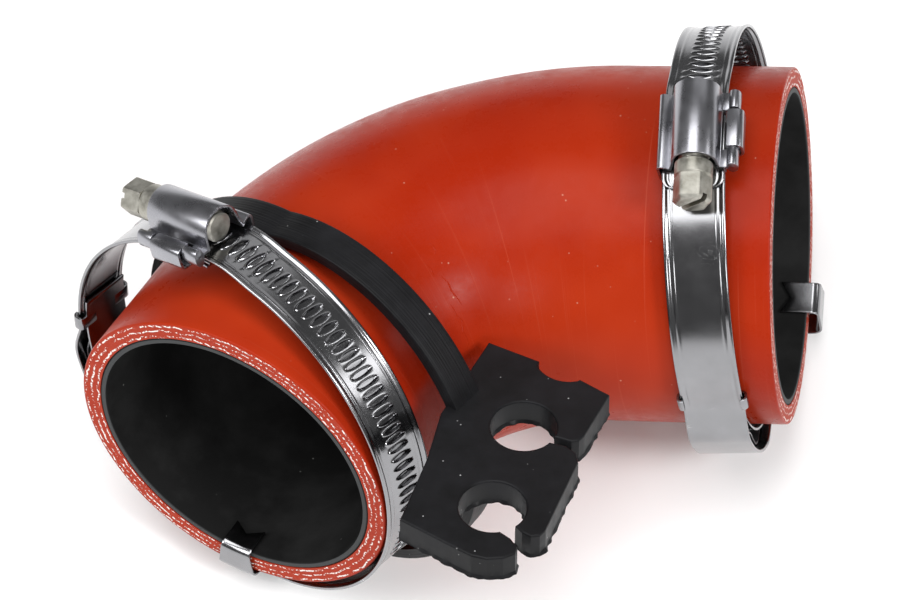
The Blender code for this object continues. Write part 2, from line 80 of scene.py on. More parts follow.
# Clamp band
BAND_SLACK = 4.55 * MM
BAND_RADIUS = LONG_END_RADIUS + BAND_SLACK
BAND_WIDTH = 12.0 * MM
BAND_THICKNESS = 0.6 * MM
BAND_EDGE = 0.14 * MM
BAND_STEP = 0.7 * MM
LIP_START = 5.0 * MM
LIP_END = 5.35 * MM
LIP_RISE = 0.3 * MM
LINE_PLACE = 4.35 * MM
LINE_WIDTH = 0.16 * MM
LINE_RISE = 0.12 * MM
TAIL_OVERHANG = 2.6 * MM
TAIL_ROUND = 2.0 * MM
RAMP_ANGLE = math.radians(12.0)
LEVEL_ANGLE = math.radians(2.4)
TAIL_RISE = BAND_THICKNESS + GAP

# Slanted teeth pressed into the band. The phases are places along one pitch, and a tooth's own
# outline lies at the one in the middle of each rim.
THREAD_ANGLE = math.radians(140.0)
TOOTH_PITCH = 2.05 * MM
TOOTH_HALF = 2.6 * MM
TOOTH_SLANT = -0.1
TOOTH_RIM_PHASE = 0.31
TOOTH_PHASES = (-0.5, -0.39, -0.345, -0.31, -0.275, -0.2, -0.08, 0.08, 0.2, 0.275, 0.31, 0.345, 0.39)
TOOTH_GROOVE = 0.36 * MM
TOOTH_RIM = 0.18 * MM
TOOTH_TIP = 0.08
LAST_TOOTH = 2.6 * MM

# Spring hump
HUMP_RISE = 3.5 * MM
HUMP_ANGLE = math.radians(62.0)
HUMP_RAMP = math.radians(15.0)
HUMP_START = 0.7 * MM
SPRING_WAVES = 2
SPRING_INSET = math.radians(3.75)
SPRING_THICKNESS = 0.35 * MM
SPRING_WIDTH = 8.0 * MM
BRIDGE_THICKNESS = 0.5 * MM
BRIDGE_LAP = math.radians(8.0)
LUG_LENGTH = 3.0 * MM
LUG_HOLD = 1.1 * MM

# Screw housing and saddle
HOUSING_LENGTH = 15.6 * MM
HOUSING_WALL = 0.8 * MM
SCREW_ROOM = 0.7 * MM
SCREW_OFFSET = 0.8 * MM
TAB_LENGTH = 7.8 * MM
TAB_REACH = 3.1 * MM
TAB_BULGE = 1.2 * MM
TAB_CORNER = 1.2 * MM
FOLD_CORNER = 0.7 * MM
FOLD_UNDER = 2.6 * MM
FOLD_WALL = 0.55 * MM
FOLD_ROOM = 0.15 * MM
FLANGE_DIP = 0.35 * MM
FLANGE_SWELL = 0.55 * MM
ROLL_WIDTH = 1.15 * MM
ROLL_HEIGHT = 1.8 * MM
ROLL_DROP = 0.2 * MM
ROLL_INSET = 0.35 * MM
WINDOW_START = 5.4 * MM
SADDLE_THICKNESS = 0.6 * MM
SADDLE_LENGTH = 14.0 * MM
PRESSED_EDGE = 0.12 * MM
CUT_EDGE = 0.1 * MM
FOLD_ANGLE = math.radians(60.0)

# Worm screw
SCREW_RADIUS = 3.0 * MM
SCREW_SIDES = 72
THREAD_DEPTH = 0.45 * MM
THREAD_STEPS = 90
TIP_DEPTH = 0.7 * MM
COLLAR_RADIUS = 3.6 * MM
COLLAR_LENGTH = 3.2 * MM
HEX_ACROSS_FLATS = 6.5 * MM
HEX_LENGTH = 5.2 * MM
HEX_CHAMFER = 0.6 * MM
HEX_CORNER = 1.13
SLOT_WIDTH = 1.2 * MM
SLOT_DEPTH = 2.2 * MM
SLOT_SWEEP = 6.0 * MM
SLOT_ANGLE = math.radians(35.0)

# End clip
CLIP_WIDTH = 8.8 * MM
CLIP_THICKNESS = 0.5 * MM
CLIP_INNER_LEG = 5.4 * MM
CLIP_NOTCH = 2.0 * MM
CLIP_INNER_BEND = 1.4 * MM
CLIP_OUTER_BEND = 2.2 * MM
CLIP_FLARE = 1.5

# Cable bracket
STRAP_POSITION = math.radians(64.9)
STRAP_WIDTH = 7.0 * MM
STRAP_THICKNESS = 2.5 * MM
STRAP_LIFT = 9.8 * MM
STRAP_LEAN = math.radians(5.1)
STRAP_YAW = math.radians(5.2)
STRAP_ROUND = 0.3 * MM
STRAP_SIDES = 160
PLATE_THICKNESS = 5.5 * MM
PLATE_TUCK = 1.54 * MM
PLATE_HEIGHT = 13.6 * MM
PLATE_LEAD = 8.8 * MM
PLATE_YAW = math.radians(6.0)
PLATE_DIP = math.radians(6.5)
PLATE_RISE = math.radians(3.4)
SNAP_HOLE_RADIUS = 6.2 * MM
PLATE_STEP = 0.5 * MM
FLASH = 0.45 * MM

CLAMPS = {
    "right": {
        "from_end": 13.2 * MM,
        "faces": 1.0,
        "lean_side": math.radians(1.3),
        "lean_up": math.radians(-2.5),
        "hang": 0.85,
        "hang_angle": math.radians(-80.0),
        "housing": math.radians(19.8),
        "hump": math.radians(100.4),
        "clip": math.radians(200.0),
        "clip_stands_off": 2.3 * MM,
    },
    "left": {
        "from_end": 12.0 * MM,
        "faces": -1.0,
        "lean_side": math.radians(-11.3),
        "lean_up": math.radians(-3.5),
        "hang": 1.0,
        "hang_angle": math.radians(67.0),
        "housing": math.radians(8.8),
        "hump": math.radians(83.7),
        "clip": math.radians(178.7),
        "clip_stands_off": 0.8 * MM,
    },
}

# How the elbow lies, and where its own origin comes to be
LEAN = Matrix.Rotation(math.radians(-10.11), 4, "Y") @ Matrix.Rotation(math.radians(-16.86), 4, "X")
ROOT = Matrix.Translation(Vector((31.685, 22.716, 37.477)) * MM)
ROOT = ROOT @ Matrix.Rotation(math.radians(-5.88), 4, "Z") @ LEAN

# Camera, in the elbow's frame
CAMERA_PLACE = Vector((127.5, -560.0, 542.3)) * MM
CAMERA_RIGHT = Vector((0.9791, 0.1583, -0.1278))
CAMERA_UP = Vector((-0.021, 0.7034, 0.7105))
CAMERA_LENS = 160.0

BEND_LENGTH = BEND_RADIUS * BEND_ANGLE
HOSE_LENGTH = LONG_LEG + BEND_LENGTH + SHORT_LEG


# Materials

def new_material(name, colour, roughness, metallic=0.0, **sockets):
    made = bpy.data.materials.new(name)
    made.use_nodes = True
    shader = made.node_tree.nodes["Principled BSDF"]
    shader.inputs["Base Color"].default_value = (*colour, 1.0)
    shader.inputs["Roughness"].default_value = roughness
    shader.inputs["Metallic"].default_value = metallic
    for socket, value in sockets.items():
        shader.inputs[socket.replace("_", " ")].default_value = value
    return made


class Painter:
    """Adds procedural detail to one material."""

    def __init__(self, material):
        self.tree = material.node_tree
        self.shader = self.tree.nodes["Principled BSDF"]
        self.coordinates = self.tree.nodes.new("ShaderNodeTexCoord")

    def link(self, source, target):
        self.tree.links.new(source, target)

    def place(self, scale, space="Object", shift=(0.0, 0.0, 0.0)):
        """Coordinates for a texture. The scale is one number, or one for each direction."""
        made = self.tree.nodes.new("ShaderNodeMapping")
        made.inputs["Scale"].default_value = scale if isinstance(scale, tuple) else (scale,) * 3
        made.inputs["Location"].default_value = shift
        self.link(self.coordinates.outputs[space], made.inputs["Vector"])
        return made.outputs["Vector"]

    def cloud(self, vector, scale=1.0, detail=4.0, roughness=0.55, distortion=0.0):
        made = self.tree.nodes.new("ShaderNodeTexNoise")
        made.inputs["Scale"].default_value = scale
        made.inputs["Detail"].default_value = detail
        made.inputs["Roughness"].default_value = roughness
        made.inputs["Distortion"].default_value = distortion
        self.link(vector, made.inputs["Vector"])
        return made.outputs["Fac"]

    def cells(self, scale):
        made = self.tree.nodes.new("ShaderNodeTexVoronoi")
        made.inputs["Scale"].default_value = scale
        made.inputs["Randomness"].default_value = 1.0
        self.link(self.place(1.0), made.inputs["Vector"])
        return made.outputs["Distance"]

    def dots(self, scale, rim, level, patches, shift, rare):
        """Small dots that come in patches. The rim and the rarity are given as the ends of a fade."""
        round_dots = self.span(self.cells(scale), *rim, level, 0.0)
        where = self.cloud(self.place(patches, shift=shift), detail=1.0)
        return self.maths("MULTIPLY", round_dots, self.span(where, *rare))

    def span(self, value, low, high, to_low=0.0, to_high=1.0):
        made = self.tree.nodes.new("ShaderNodeMapRange")
        made.inputs["From Min"].default_value = low
        made.inputs["From Max"].default_value = high
        made.inputs["To Min"].default_value = to_low
        made.inputs["To Max"].default_value = to_high
        self.link(value, made.inputs["Value"])
        return made.outputs["Result"]

    def maths(self, operation, first, second):
        made = self.tree.nodes.new("ShaderNodeMath")
        made.operation = operation
        for value, socket in ((first, made.inputs[0]), (second, made.inputs[1])):
            if isinstance(value, (int, float)):
                socket.default_value = value
            else:
                self.link(value, socket)
        return made.outputs["Value"]

    def mix(self, factor, first, second):
        made = self.tree.nodes.new("ShaderNodeMix")
        made.data_type = "RGBA"
        self.link(factor, made.inputs["Factor"])
        for value, socket in ((first, made.inputs["A"]), (second, made.inputs["B"])):
            if isinstance(value, tuple):
                socket.default_value = (*value, 1.0)
            else:
                self.link(value, socket)
        return made.outputs["Result"]

    def attribute(self, name):
        made = self.tree.nodes.new("ShaderNodeAttribute")
        made.attribute_name = name
        return made.outputs["Fac"]

    def colour(self, value):
        self.link(value, self.shader.inputs["Base Color"])

    def roughness(self, value):
        self.link(value, self.shader.inputs["Roughness"])

    def bump(self, height, strength, distance):
        made = self.tree.nodes.new("ShaderNodeBump")
        made.inputs["Strength"].default_value = strength
        made.inputs["Distance"].default_value = distance
        self.link(height, made.inputs["Height"])
        earlier = self.shader.inputs["Normal"]
        if earlier.is_linked:
            self.link(earlier.links[0].from_socket, made.inputs["Normal"])
        self.link(made.outputs["Normal"], self.shader.inputs["Normal"])


def silicone_material():
    made = new_material("orange_red_silicone", (0.3, 0.02, 0.004), 0.34, Specular_IOR_Level=0.07)
    paint = Painter(made)
    broad = paint.cloud(paint.place(22.0), detail=3.0)
    wraps = paint.cloud(paint.place((1500.0, 9.0, 1.0), "UV"), detail=2.0, roughness=0.7)
    tone = paint.mix(paint.span(broad, 0.35, 0.65), (0.28, 0.015, 0.0028), (0.36, 0.029, 0.0068))
    tone = paint.mix(paint.span(wraps, 0.64, 0.74, 0.0, 0.45), tone, (0.42, 0.07, 0.035))
    dots = paint.dots(420.0, (0.05, 0.1), 0.8, 170.0, (3.0, 1.0, 2.0), (0.58, 0.66))
    paint.colour(paint.mix(dots, tone, (0.5, 0.24, 0.17)))
    scuffs = paint.cloud(paint.place(300.0), detail=4.0, roughness=0.7)
    worn = paint.span(scuffs, 0.4, 0.7, -0.05, 0.1)
    paint.roughness(paint.maths("ADD", paint.span(broad, 0.3, 0.7, 0.28, 0.36), worn))
    paint.bump(wraps, 0.3, 0.05 * MM)
    paint.bump(dots, 0.5, 0.05 * MM)
    paint.bump(broad, 0.3, 0.5 * MM)
    return made


def cut_face_material():
    """The cut end: rows of broken white yarn in red silicone."""
    made = new_material("cut_silicone", (0.36, 0.03, 0.01), 0.6, Specular_IOR_Level=0.15)
    paint = Painter(made)
    grain = paint.cloud(paint.place(1500.0), detail=2.0)
    red = paint.mix(grain, (0.27, 0.016, 0.004), (0.44, 0.042, 0.012))
    yarn = None
    for row, centre in enumerate((0.2, 0.52, 0.86)):
        shift = (row * 3.7, row * 5.1, 0.0)
        wander = paint.cloud(paint.place((330.0, 0.0, 0.0), "UV", shift), detail=2.0)
        depth = paint.maths("MULTIPLY_ADD", wander, 0.4)
        depth.node.inputs[2].default_value = centre - 0.2
        separate = paint.tree.nodes.new("ShaderNodeSeparateXYZ")
        paint.link(paint.coordinates.outputs["UV"], separate.inputs["Vector"])
        away = paint.maths("ABSOLUTE", paint.maths("SUBTRACT", separate.outputs["Y"], depth), 0.0)
        line = paint.span(away, 0.03, 0.06, 1.0, 0.0)
        dashes = paint.cloud(paint.place((1500.0, 7.0, 0.0), "UV", shift), detail=2.0)
        patches = paint.cloud(paint.place((130.0, 0.0, 0.0), "UV", shift), detail=2.0)
        level = paint.maths("ADD", dashes, paint.span(patches, 0.3, 0.7, -0.12, 0.1))
        line = paint.maths("MULTIPLY", line, paint.span(level, 0.49, 0.53))
        yarn = line if yarn is None else paint.maths("MAXIMUM", yarn, line)
    paint.colour(paint.mix(yarn, red, (0.86, 0.8, 0.76)))
    paint.bump(grain, 0.5, 0.08 * MM)
    paint.bump(yarn, 0.6, 0.15 * MM)
    return made


def liner_material():
    made = new_material("black_liner_rubber", (0.007, 0.007, 0.007), 0.7, Specular_IOR_Level=0.2)
    paint = Painter(made)
    haze = paint.cloud(paint.place(55.0), detail=5.0, roughness=0.6)
    dots = paint.dots(330.0, (0.04, 0.08), 1.0, 90.0, (4.0, 8.0, 1.0), (0.58, 0.64))
    tone = paint.mix(paint.span(haze, 0.45, 0.8), (0.005, 0.005, 0.005), (0.022, 0.022, 0.022))
    tone = paint.mix(paint.attribute("end_face"), tone, (0.045, 0.047, 0.048))
    paint.colour(paint.mix(dots, tone, (0.2, 0.2, 0.19)))
    paint.bump(haze, 0.3, 0.2 * MM)
    return made


def bracket_material(name, lines):
    made = new_material(name, (0.007, 0.007, 0.008), 0.5, Specular_IOR_Level=0.17)
    paint = Painter(made)
    haze = paint.cloud(paint.place(120.0), detail=5.0, roughness=0.65)
    tone = paint.mix(paint.span(haze, 0.35, 0.7), (0.004, 0.004, 0.0045), (0.009, 0.009, 0.0105))
    dots = paint.dots(480.0, (0.05, 0.09), 1.0, 200.0, (7.0, 2.0, 5.0), (0.56, 0.62))
    paint.colour(paint.mix(dots, tone, (0.3, 0.3, 0.3)))
    paint.roughness(paint.span(haze, 0.3, 0.7, 0.4, 0.56))
    if lines:
        ribs = paint.cloud(paint.place((6.0, 2400.0, 1.0), "UV"), detail=2.0)
        paint.bump(ribs, 0.9, 0.12 * MM)
    grain = paint.cloud(paint.place(900.0), detail=2.0)
    paint.bump(grain, 0.25, 0.06 * MM)
    return made


def steel_material(name, colour, roughness, streaks, scratches_and_groove_shade=False):
    made = new_material(name, colour, roughness, 1.0)
    paint = Painter(made)
    rolled = paint.cloud(paint.place((18.0, 2600.0, 1.0), "UV"), detail=3.0)
    haze = paint.cloud(paint.place(150.0), detail=4.0, roughness=0.6)
    dark = tuple(part * 0.86 for part in colour)
    tone = paint.mix(paint.span(haze, 0.3, 0.7), dark, colour)
    if scratches_and_groove_shade:
        places = paint.place((900.0, 160.0, 1.0), "UV", (1.0, 4.0, 0.0))
        marks = paint.cloud(places, detail=1.0, distortion=2.5)
        away = paint.maths("ABSOLUTE", paint.maths("SUBTRACT", marks, 0.5), 0.0)
        thin = paint.span(away, 0.0, 0.006, 1.0, 0.0)
        few = paint.cloud(paint.place(60.0, shift=(2.0, 9.0, 4.0)), detail=1.0)
        thin = paint.maths("MULTIPLY", thin, paint.span(few, 0.6, 0.66))
        tone = paint.mix(thin, tone, (0.93, 0.93, 0.93))
        paint.bump(thin, 0.15, 0.03 * MM)
        # Painted shade: the inside of each tooth groove is darkened, read from the band's "shade"
        # attribute.
        pressed = paint.maths("MULTIPLY", paint.attribute("shade"), 0.3)
        tone = paint.mix(pressed, tone, (0.06, 0.06, 0.065))
    paint.colour(tone)
    paint.roughness(paint.span(haze, 0.3, 0.7, roughness * 0.8, roughness * 1.2))
    paint.bump(rolled, streaks, 0.02 * MM)
    return made


def screw_material():
    made = new_material("dull_plated_steel", (0.5, 0.48, 0.42), 0.42, 1.0)
    paint = Painter(made)
    haze = paint.cloud(paint.place(420.0), detail=5.0, roughness=0.65)
    paint.colour(paint.mix(paint.span(haze, 0.3, 0.7), (0.27, 0.26, 0.22), (0.52, 0.505, 0.455)))
    paint.roughness(paint.span(haze, 0.3, 0.7, 0.34, 0.58))
    paint.bump(haze, 0.4, 0.08 * MM)
    return made


SILICONE = silicone_material()
CUT_FACE = cut_face_material()
LINER_BLACK = liner_material()
STRAP_BLACK = bracket_material("strap_rubber", True)
PLATE_BLACK = bracket_material("plate_rubber", False)
BAND_STEEL = steel_material("bright_band_steel", (0.28, 0.28, 0.29), 0.19, 0.3, scratches_and_groove_shade=True)
SPRING_STEEL = steel_material("spring_steel", (0.3, 0.3, 0.31), 0.3, 0.2)
HOUSING_STEEL = steel_material("satin_housing_steel", (0.34, 0.34, 0.365), 0.29, 0.08)
CLIP_STEEL = steel_material("bright_clip_steel", (0.27, 0.27, 0.28), 0.2, 0.15)
SCREW_STEEL = screw_material()


# Meshes

def new_object(name, shape):
    mesh = bpy.data.meshes.new(name)
    shape.to_mesh(mesh)
    shape.free()
    made = bpy.data.objects.new(name, mesh)
    bpy.context.scene.collection.objects.link(made)
    return made


def mesh_object(name, shape, materials, place, body, nodes, smooth_angle=35.0):
    """Turns a bmesh into a piece that rides on a body and stands for its CAD nodes."""
    shape.transform(ROOT @ place)
    bmesh.ops.recalc_face_normals(shape, faces=shape.faces)
    made = new_object(name, shape)
    for item in materials:
        made.data.materials.append(item)
    made.data.shade_smooth()
    made.data.set_sharp_from_angle(angle=math.radians(smooth_angle))
    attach(made, body)
    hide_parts(*nodes)


def loft(rings, closed=False, uv=None, face_slot=None, into=None):
    """A skin through rings of points, in a new or a given bmesh."""
    shape = into or bmesh.new()
    layer = shape.loops.layers.uv.verify()
    rows = [[shape.verts.new(point) for point in ring] for ring in rings]
    count = len(rings[0])
    for index in range(len(rows) if closed else len(rows) - 1):
        near = rows[index]
        far = rows[(index + 1) % len(rows)]
        for corner in range(count):
            after = (corner + 1) % count
            face = shape.faces.new((near[corner], near[after], far[after], far[corner]))
            if face_slot:
                face.material_index = face_slot(corner)
            if uv:
                ends = (corner, corner + 1, corner + 1, corner)
                for loop, ring, along in zip(face.loops, (index, index, index + 1, index + 1), ends):
                    loop[layer].uv = uv(ring, along)
    if not closed:
        shape.faces.new(rows[0])
        shape.faces.new(rows[-1])
    return shape


def bevel_edges(shape, width, angle=math.radians(35.0)):
    bmesh.ops.recalc_face_normals(shape, faces=shape.faces)
    sharp = []
    for edge in shape.edges:
        if len(edge.link_faces) == 2 and edge.calc_face_angle() > angle:
            sharp.append(edge)
    bmesh.ops.bevel(shape, geom=sharp, offset=width, segments=2, profile=0.5,
                    affect="EDGES", clamp_overlap=True)


def ribbon(path, thickness):
    """The closed outline of a strip of even thickness that follows a flat path."""
    sides = ([], [])
    for index, point in enumerate(path):
        here = Vector(point)
        before = Vector(path[max(index - 1, 0)])
        after = Vector(path[min(index + 1, len(path) - 1)])
        arriving = (here - before) if index else (after - here)
        leaving = (after - here) if index < len(path) - 1 else (here - before)
        arriving.normalize()
        leaving.normalize()
        middle = (arriving + leaving).normalized()
        normal = Vector((-middle.y, middle.x))
        reach = thickness / 2 / max(middle.dot(leaving), 0.4)
        sides[0].append(here + normal * reach)
        sides[1].append(here - normal * reach)
    return sides[0] + sides[1][::-1]


def lengths_along(outline):
    """How far along a closed outline each point lies, and at last its whole length."""
    reach = [0.0]
    for index, point in enumerate(outline):
        after = Vector(outline[(index + 1) % len(outline)])
        reach.append(reach[-1] + (after - Vector(point)).length)
    return reach


def arc(centre, radius, start, end, steps):
    points = []
    for step in range(steps + 1):
        angle = start + (end - start) * step / steps
        points.append((centre[0] + radius * math.cos(angle), centre[1] + radius * math.sin(angle)))
    return points


def ease(value):
    value = min(max(value, 0.0), 1.0)
    return value * value * (3.0 - 2.0 * value)


def bell(distance, width):
    return math.exp(-((distance / width) ** 2))


# Hose

def hose_radius(distance):
    along = min(max((distance - LONG_LEG) / BEND_LENGTH, 0.0), 1.0)
    return LONG_END_RADIUS + (SHORT_END_RADIUS - LONG_END_RADIUS) * along


def hose_frame(distance):
    """The centre of the hose, its direction and the direction to the outside of the bend."""
    turned = min(max((distance - LONG_LEG) / BEND_RADIUS, 0.0), BEND_ANGLE)
    along = Vector((-math.cos(turned), -math.sin(turned), 0.0))
    outward = Vector((-math.sin(turned), math.cos(turned), 0.0))
    centre = outward * BEND_RADIUS - Vector((0.0, BEND_RADIUS, 0.0))
    past = min(distance - LONG_LEG, 0.0) + max(distance - LONG_LEG - BEND_LENGTH, 0.0)
    return centre + along * past, along, outward


def hose_point(distance, angle, radius):
    centre, _, outward = hose_frame(distance)
    return centre + (UP * math.cos(angle) + outward * math.sin(angle)) * radius


def tube_section(depth_outside, depth_inside):
    """Distance along the hose and depth below its outer face, round one cut through the wall.

    The third value says which points are on an end face.
    """
    steps = round(HOSE_LENGTH / HOSE_STEP)
    stations = [RIM_ROUND + (HOSE_LENGTH - 2.0 * RIM_ROUND) * step / steps for step in range(steps + 1)]
    section = [(distance, depth_outside, 0) for distance in stations]
    corner = [math.pi / 2 * step / 4 for step in range(1, 4)]
    for angle in corner:
        section.append((HOSE_LENGTH - RIM_ROUND + RIM_ROUND * math.sin(angle),
                        depth_outside + RIM_ROUND * (1.0 - math.cos(angle)), 0))
    face = depth_inside - depth_outside - RIM_ROUND
    rows = [depth_outside + RIM_ROUND + face * step / 5 for step in range(6)]
    section += [(HOSE_LENGTH, depth, 1) for depth in rows]
    section += [(distance, depth_inside, 0) for distance in reversed(stations)]
    section += [(0.0, depth, 1) for depth in reversed(rows)]
    for angle in reversed(corner):
        section.append((RIM_ROUND - RIM_ROUND * math.sin(angle),
                        depth_outside + RIM_ROUND * (1.0 - math.cos(angle)), 0))
    return section


def outer_point(distance, angle, rise):
    """A point on the slightly uneven outside of the hose, or a given rise over it."""
    point = hose_point(distance, angle, hose_radius(distance))
    uneven = noise.noise(point * LUMP_SCALE) * LUMP_HEIGHT
    return hose_point(distance, angle, hose_radius(distance) + uneven + rise)


def tube_rings(section, uneven_above=0.0):
    """The section at even steps around the hose. Its points above the given depth are uneven."""
    rings = []
    for side in range(HOSE_SIDES):
        angle = TAU * side / HOSE_SIDES
        ring = []
        for distance, depth, _ in section:
            if depth < uneven_above:
                ring.append(outer_point(distance, angle, -depth))
            else:
                ring.append(hose_point(distance, angle, hose_radius(distance) - depth))
        rings.append(ring)
    return rings


def hose_wall():
    inside = WALL - LINER - GAP * 0.2
    section = tube_section(0.0, inside)
    total = len(section)

    def face_slot(corner):
        return 1 if section[corner][2] and section[(corner + 1) % total][2] else 0

    def uv(ring, corner):
        distance, depth, on_end = section[corner % total]
        around = TAU * ring / HOSE_SIDES * LONG_END_RADIUS
        if on_end:
            return around, depth / inside
        return distance, around

    shape = loft(tube_rings(section, inside / 2), closed=True, uv=uv, face_slot=face_slot)
    mesh_object("hose_skin", shape, (SILICONE, CUT_FACE), Matrix(), "hose", ("hose_wall",))


def inner_liner():
    section = tube_section(WALL - LINER, WALL)
    shape = bmesh.new()
    end_face = shape.verts.layers.float.new("end_face")
    loft(tube_rings(section), closed=True, into=shape)
    shape.verts.ensure_lookup_table()
    for index, vertex in enumerate(shape.verts):
        vertex[end_face] = section[index % len(section)][2]
    mesh_object("liner_skin", shape, (LINER_BLACK,), Matrix(), "hose", ("inner_liner",))


def flash_marks():
    """Thin ragged seams of flash left on the inner side of the bend."""
    shape = bmesh.new()
    for mark in FLASH_MARKS:
        points = []
        for near, far in zip(mark, mark[1:]):
            for step in range(FLASH_STEPS):
                share = step / FLASH_STEPS
                points.append((near[0] + (far[0] - near[0]) * share, near[1] + (far[1] - near[1]) * share))
        rings = []
        for index, (distance, angle) in enumerate(points):
            distance = distance * MM
            angle = math.radians(angle)
            ragged = noise.noise(Vector((distance, angle, 0.0)) * 900.0)
            distance += FLASH_WANDER * ragged
            taper = math.sqrt(math.sin(math.pi * (index + 0.5) / len(points)))
            half = FLASH_WIDTH / 2 * taper * (1.0 + 0.6 * ragged)
            top = FLASH_HEIGHT * taper * (1.0 + 0.5 * ragged)
            corners = ((-half, -FLASH_SINK), (0.0, top), (half, -FLASH_SINK))
            rings.append([outer_point(distance + along, angle, rise) for along, rise in corners])
        loft(rings, into=shape)
    mesh_object("hose_flash", shape, (SILICONE,), Matrix(), "hose", ("hose_wall",), 30.0)


# Cable bracket

def bracket_strap():
    """A flat loop around the hose. It is pulled off the hose towards the plate."""
    middle = LONG_LEG + BEND_RADIUS * STRAP_POSITION
    centre, along, outward = hose_frame(middle)
    half = STRAP_WIDTH / 2
    r = STRAP_ROUND
    outline = arc((half - r, STRAP_THICKNESS - r), r, 0.0, math.pi / 2, 4)
    outline += [(x * half / 3, STRAP_THICKNESS) for x in (2, 1, 0, -1, -2)]
    outline += arc((r - half, STRAP_THICKNESS - r), r, math.pi / 2, math.pi, 4)
    outline += [(-half, 0.0)] + [(x * half / 3, 0.0) for x in (-2, -1, 0, 1, 2)] + [(half, 0.0)]
    rings = []
    for side in range(STRAP_SIDES):
        angle = TAU * side / STRAP_SIDES
        radial = UP * math.cos(angle) + outward * math.sin(angle)
        inner = GAP + STRAP_LIFT * max(-math.sin(angle), 0.0)
        lean = math.tan(STRAP_LEAN) * math.cos(angle) + math.tan(STRAP_YAW) * math.sin(angle)
        shift = -lean * (hose_radius(middle) + inner)
        ring = []
        for edge, depth in outline:
            across = shift + edge
            radius = hose_radius(middle + across) + inner + depth
            ring.append(centre + along * across + radial * radius)
        rings.append(ring)
    reach = lengths_along(outline)

    def uv(ring, corner):
        return TAU * ring / STRAP_SIDES * hose_radius(middle), reach[corner]

    shape = loft(rings, closed=True, uv=uv)
    mesh_object("bracket_strap", shape, (STRAP_BLACK,), Matrix(), "hose", ("cable_bracket",))


def plate_outline():
    """The plate seen from above, in mm: along the hose, then away from it."""
    hole = SNAP_HOLE_RADIUS / MM
    outline = [(0.0, 0.0), (0.0, 10.7)]
    outline += arc((-3.4, 15.2), hole, math.radians(-42.0), math.radians(42.0), 10)
    outline += [(0.7, 19.6), (1.7, 26.3), (13.4, 26.9), (14.9, 26.6), (15.8, 25.5)]
    outline += arc((16.4, 15.9), hole, math.radians(92.0), math.radians(437.0), 60)
    outline += [(17.2, 25.0), (17.9, 27.4), (19.8, 28.9), (37.6, 31.3), (39.3, 31.0), (40.3, 29.7)]
    outline += [(40.1, 27.8)]
    outline += arc((37.0, 20.2), hole, math.radians(69.0), math.radians(400.0), 60)
    outline += [(42.3, 26.6), (43.5, 28.6), (45.2, 29.1), (47.2, 27.7), (48.8, 25.2), (49.4, 22.4)]
    outline += [(49.1, 19.0), (47.7, 6.9), (32.0, 4.0), (20.7, 0.8)]
    return [(along * MM, away * MM) for along, away in outline]


def finely(outline, step):
    """The same closed outline with a point at least every step."""
    points = []
    for index, point in enumerate(outline):
        here = Vector(point)
        after = Vector(outline[(index + 1) % len(outline)])
        pieces = max(1, math.ceil((after - here).length / step))
        points += [here.lerp(after, piece / pieces) for piece in range(pieces)]
    return points


def bracket_plate():
    middle = LONG_LEG + BEND_RADIUS * STRAP_POSITION
    centre, along, outward = hose_frame(middle)
    corner = centre - along * (STRAP_WIDTH / 2 + PLATE_LEAD) + UP * PLATE_HEIGHT
    corner -= outward * (BAND_RADIUS - PLATE_TUCK)
    axes = Matrix((along, -outward, -UP)).transposed().to_4x4()
    place = Matrix.Translation(corner) @ axes
    place = place @ Matrix.Rotation(PLATE_YAW, 4, "Z")
    place = place @ Matrix.Rotation(PLATE_DIP, 4, "X") @ Matrix.Rotation(PLATE_RISE, 4, "Y")
    outline = finely(plate_outline(), PLATE_STEP)
    count = len(outline)
    normals = []
    for index in range(count):
        run = outline[(index + 1) % count] - outline[index - 1]
        normals.append(Vector((-run.y, run.x)).normalized())
    # Depth below the top face, how far the edge is drawn in, and how ragged it is
    levels = [(0.0, 0.35 * MM, 0.0), (0.1 * MM, 0.1 * MM, 0.0), (0.35 * MM, 0.0, 0.0)]
    levels += [(PLATE_THICKNESS * share, 0.0, 0.1) for share in (0.3, 0.6, 0.85)]
    levels += [(PLATE_THICKNESS - 0.35 * MM, 0.0, 1.0), (PLATE_THICKNESS - 0.1 * MM, -0.1 * MM, 1.0)]
    levels += [(PLATE_THICKNESS, 0.25 * MM, 0.2)]
    rings = []
    for depth, drawn_in, ragged in levels:
        ring = []
        for point, normal in zip(outline, normals):
            rough = noise.noise(Vector((point.x, point.y, 0.0)) * 700.0) + 0.5
            rough += 0.6 * noise.noise(Vector((point.x, point.y, 0.01)) * 220.0)
            spread = FLASH * ragged * max(rough, 0.0) - drawn_in
            moved = point + normal * spread
            ring.append(Vector((moved.x, moved.y, depth)))
        rings.append(ring)
    shape = loft(rings)
    mesh_object("bracket_plate", shape, (PLATE_BLACK,), place, "hose", ("cable_bracket",), 18.0)


# Clamps

def clamp_face(clamp):
    return 0.0 if clamp["faces"] > 0 else HOSE_LENGTH


def clamp_frame(clamp):
    """The place of a clamp: X along its axis to the bend, Z to its top."""
    distance = abs(clamp_face(clamp) - clamp["from_end"])
    centre, along, outward = hose_frame(distance)
    side = outward * -clamp["faces"]
    axis = along * clamp["faces"]
    axis += side * math.tan(clamp["lean_side"]) + UP * math.tan(clamp["lean_up"])
    axis.normalize()
    top = (UP - axis * UP.dot(axis)).normalized()
    side = top.cross(axis)
    lean = math.hypot(clamp["lean_side"], clamp["lean_up"])
    loss = BAND_RADIUS * (1.0 - math.cos(lean)) + BAND_WIDTH / 2 * math.sin(lean)
    room = BAND_RADIUS - hose_radius(distance) - GAP - loss
    reach = top * math.cos(clamp["hang_angle"]) + side * math.sin(clamp["hang_angle"])
    place = Matrix((axis, side, top)).transposed().to_4x4()
    return Matrix.Translation(centre + reach * clamp["hang"] * room) @ place


def ring_point(angle, radius, across):
    return Vector((across, radius * math.sin(angle), radius * math.cos(angle)))


